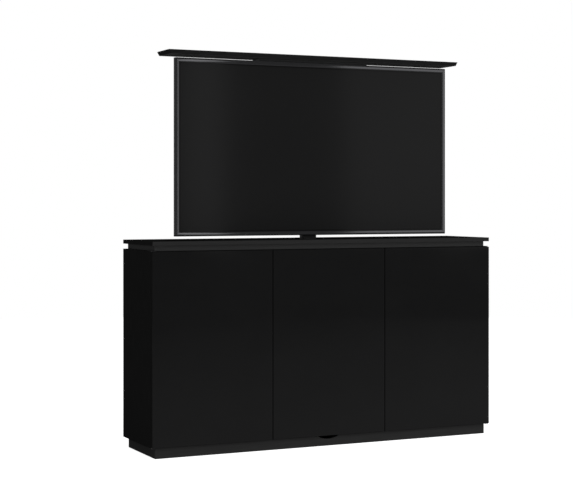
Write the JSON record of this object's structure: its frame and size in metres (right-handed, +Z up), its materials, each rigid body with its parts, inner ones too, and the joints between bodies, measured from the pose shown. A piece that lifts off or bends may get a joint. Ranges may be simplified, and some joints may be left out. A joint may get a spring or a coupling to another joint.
{
  "type": "motorized tv stand",
  "caption": "Wide cabinet whose telescopic motor column lifts a flat screen and a lid board out of a slot in its top, with hinged gloss doors in front.",
  "frame": {"origin": "on the floor, under the centre of the cabinet's footprint", "axes": "+Z up, the doors and the screen face -Y, +X along the cabinet's width"},
  "size_m": [1.5, 0.34, 1.564],
  "materials": {
    "gloss_black_door": "high gloss lacquer",
    "satin_black_board": "satin",
    "satin_black_top": "satin",
    "dark_recess_board": "satin",
    "dark_plinth_board": "satin",
    "black_back_board": "matt",
    "beech": "raw",
    "zinc_steel": "zinc plated",
    "blackened_steel": "blackened",
    "ground_steel": "ground",
    "black_steel": "powder coated",
    "cast_aluminium": "cast",
    "motor_paint": "satin",
    "black_plastic": "moulded",
    "white_plastic": "moulded",
    "fitting_steel": "turned",
    "grey_rubber": "soft",
    "cable_sheath": "matt",
    "circuit_board": "satin",
    "screen_metal": "brushed dark grey",
    "screen_gloss": "gloss",
    "tray_metal": "pressed",
    "cover_plastic": "fine grain"
  },
  "bodies": {
    "cabinet": {"back_panel": "black_back_board", "bottom_panel": "satin_black_board", "cabinet_screws": "zinc_steel", "cable_grommet": "black_plastic", "carcass_dowels": "beech", "column_base_plate": "black_steel", "column_outer_tube": "black_steel", "control_board": "circuit_board", "control_box_base": "black_plastic", "control_box_cover": "black_plastic", "door_bumpers": "grey_rubber", "door_pivot_pins": "blackened_steel", "door_pivot_plates": "blackened_steel", "flap_magnet": "blackened_steel", "front_top_rail": "satin_black_board", "gearbox_housing": "cast_aluminium", "left_side_panel": "satin_black_board", "left_upright": "satin_black_board", "motor_cable": "cable_sheath", "motor_end_cap": "black_plastic", "motor_housing": "motor_paint", "outer_tube_collar": "black_plastic", "plinth_front_board": "dark_plinth_board", "plinth_rear_board": "dark_plinth_board", "plinth_side_boards": "dark_plinth_board", "power_inlet": "black_plastic", "push_latch_housings": "black_plastic", "rear_top_rail": "satin_black_board", "recess_strips": "dark_recess_board", "right_side_panel": "satin_black_board", "right_upright": "satin_black_board", "spindle_bearing": "fitting_steel", "top_slab": "satin_black_top"},
    "lift_carriage": {"column_inner_tube": "black_steel", "inner_tube_glide": "black_plastic", "inner_tube_plug": "cast_aluminium", "head_block": "cast_aluminium", "lid_support_channel": "black_steel", "screen_hanger": "black_steel", "mounting_rails": "black_steel", "mount_screws": "zinc_steel", "lid_board": "satin_black_top", "screen_frame": "screen_metal", "screen_glass": "screen_gloss", "screen_backlight_tray": "tray_metal", "screen_rear_cover": "cover_plastic", "screen_circuit_boards": "circuit_board", "screen_speakers": "cover_plastic"},
    "middle_stage": {"column_middle_tube": "black_steel", "middle_tube_glides": "black_plastic", "spindle_nut": "white_plastic"},
    "drive_screw": {"drive_spindle": "ground_steel"},
    "left_door": {"left_door_panel": "gloss_black_door", "left_door_fittings": "blackened_steel"},
    "right_door": {"right_door_panel": "gloss_black_door", "right_door_fittings": "blackened_steel"},
    "middle_door": {"middle_door_panel": "gloss_black_door", "middle_door_fittings": "blackened_steel"},
    "left_push_latch": {"left_latch_plunger": "white_plastic"},
    "right_push_latch": {"right_latch_plunger": "white_plastic"}
  },
  "joints": [
    {"name": "lift_slide", "type": "slide", "parent": "cabinet", "child": "lift_carriage", "axis": [0, 0, 1], "range_m": [-0.74, 0]},
    {"name": "middle_stage_slide", "type": "slide", "parent": "cabinet", "child": "middle_stage", "axis": [0, 0, 1], "range_m": [-0.37, 0]},
    {"name": "screw_turn", "type": "hinge", "parent": "cabinet", "child": "drive_screw", "pos_m": [0, 0.03, 0.3], "axis": [0, 0, 1], "range_deg": [-6660, 0]},
    {"name": "left_door_hinge", "type": "hinge", "parent": "cabinet", "child": "left_door", "pos_m": [-0.7455, -0.158, 0.414], "axis": [0, 0, -1], "range_deg": [0, 95]},
    {"name": "right_door_hinge", "type": "hinge", "parent": "cabinet", "child": "right_door", "pos_m": [0.7455, -0.158, 0.414], "axis": [0, 0, 1], "range_deg": [0, 95]},
    {"name": "middle_door_hinge", "type": "hinge", "parent": "cabinet", "child": "middle_door", "pos_m": [0, -0.158, 0.7804], "axis": [-1, 0, 0], "range_deg": [0, 90]},
    {"name": "left_latch_press", "type": "slide", "parent": "cabinet", "child": "left_push_latch", "axis": [0, 1, 0], "range_m": [0, 0.0015], "stiffness_N_per_m": 600, "springref_m": -0.002},
    {"name": "right_latch_press", "type": "slide", "parent": "cabinet", "child": "right_push_latch", "axis": [0, 1, 0], "range_m": [0, 0.0015], "stiffness_N_per_m": 600, "springref_m": -0.002}
  ],
  "couplings": [
    {"joint": "middle_stage_slide", "follows": "lift_slide", "ratio": 0.5},
    {"joint": "screw_turn", "follows": "lift_slide", "rad_per_m": 157.07}
  ]
}
